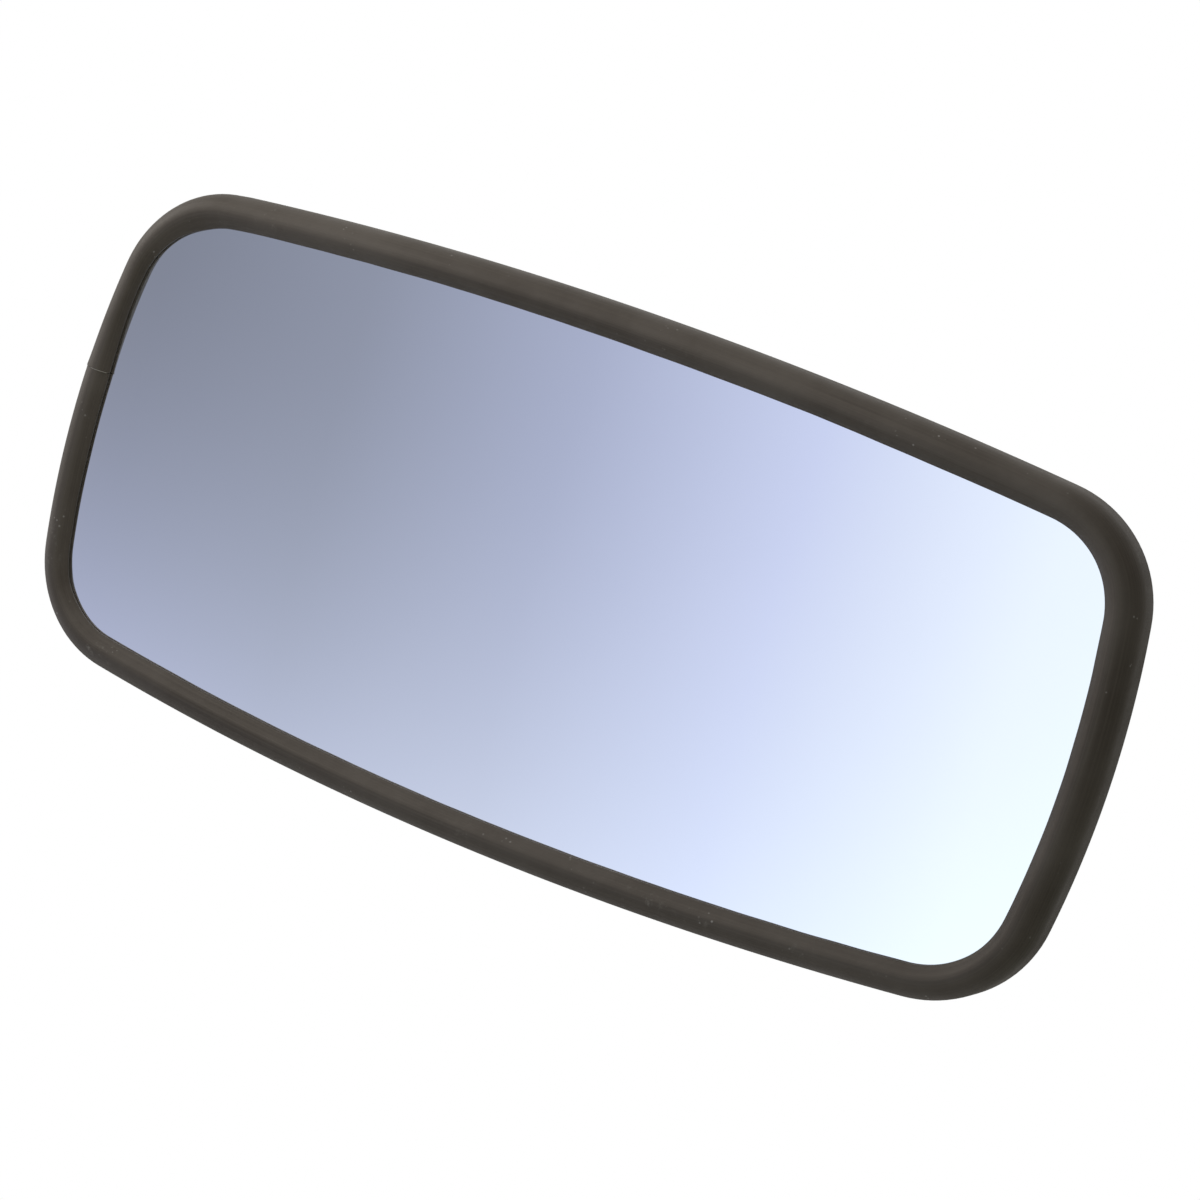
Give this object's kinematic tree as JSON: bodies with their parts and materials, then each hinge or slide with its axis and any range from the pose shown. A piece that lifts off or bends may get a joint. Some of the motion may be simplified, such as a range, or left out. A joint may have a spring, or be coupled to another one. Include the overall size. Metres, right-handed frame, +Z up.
{
  "type": "convex mirror",
  "caption": "Rectangular convex mirror head with a rubber edge strip and pressed back, on a wall bracket that pans and tilts and locks with wing nuts.",
  "frame": {"origin": "centre of the wall plate's back face", "axes": "+Y into the wall, +Z up, +X to the right seen from in front, so the mirror faces -Y"},
  "size_m": [0.406, 0.2083, 0.193],
  "materials": {
    "mirror_silver": "polished, silvered behind clear glass",
    "edge_rubber": "satin extruded",
    "shell_paint": "semi-gloss pale paint",
    "foam": "closed-cell foam",
    "zinc_plate": "bright zinc plate",
    "bracket_paint": "powder coat",
    "cast_arm": "die cast, tumbled",
    "bush_plastic": "black nylon"
  },
  "bodies": {
    "wall_side": {"wall_plate": "bracket_paint", "wall_yoke": "bracket_paint", "pan_bolt": "zinc_plate", "pan_washer": "zinc_plate", "pan_spring_washer": "zinc_plate"},
    "arm": {"swivel_arm": "cast_arm", "pan_bush_upper": "bush_plastic", "pan_bush_lower": "bush_plastic", "tilt_bush_left": "bush_plastic", "tilt_bush_right": "bush_plastic"},
    "head": {"mirror_glass": "mirror_silver", "edge_gasket": "edge_rubber", "back_shell": "shell_paint", "backing_foam": "foam", "stiffener_plate": "zinc_plate", "yoke_stud_1": "zinc_plate", "yoke_stud_2": "zinc_plate", "yoke_stud_3": "zinc_plate", "yoke_stud_4": "zinc_plate", "stud_washer_1": "zinc_plate", "stud_washer_2": "zinc_plate", "stud_washer_3": "zinc_plate", "stud_washer_4": "zinc_plate", "stud_nut_1": "zinc_plate", "stud_nut_2": "zinc_plate", "stud_nut_3": "zinc_plate", "stud_nut_4": "zinc_plate", "head_yoke": "bracket_paint", "tilt_bolt": "zinc_plate", "tilt_washer": "zinc_plate", "tilt_spring_washer": "zinc_plate"},
    "pan_knob": {"pan_wing_nut": "zinc_plate"},
    "tilt_knob": {"tilt_wing_nut": "zinc_plate"}
  },
  "joints": [
    {"name": "pan", "type": "hinge", "parent": "wall_side", "child": "arm", "pos_m": [0, -0.031, 0], "axis": [0, 0, 1], "range_deg": [-40, 40]},
    {"name": "tilt", "type": "hinge", "parent": "arm", "child": "head", "pos_m": [0, -0.141, 0], "axis": [1, 0, 0], "range_deg": [-20, 45]},
    {"name": "pan_lock", "type": "hinge", "parent": "wall_side", "child": "pan_knob", "pos_m": [0, -0.031, 0], "axis": [0, 0, -1], "range_deg": [0, 270]},
    {"name": "tilt_lock", "type": "hinge", "parent": "head", "child": "tilt_knob", "pos_m": [0, -0.141, 0], "axis": [1, 0, 0], "range_deg": [0, 270]}
  ]
}
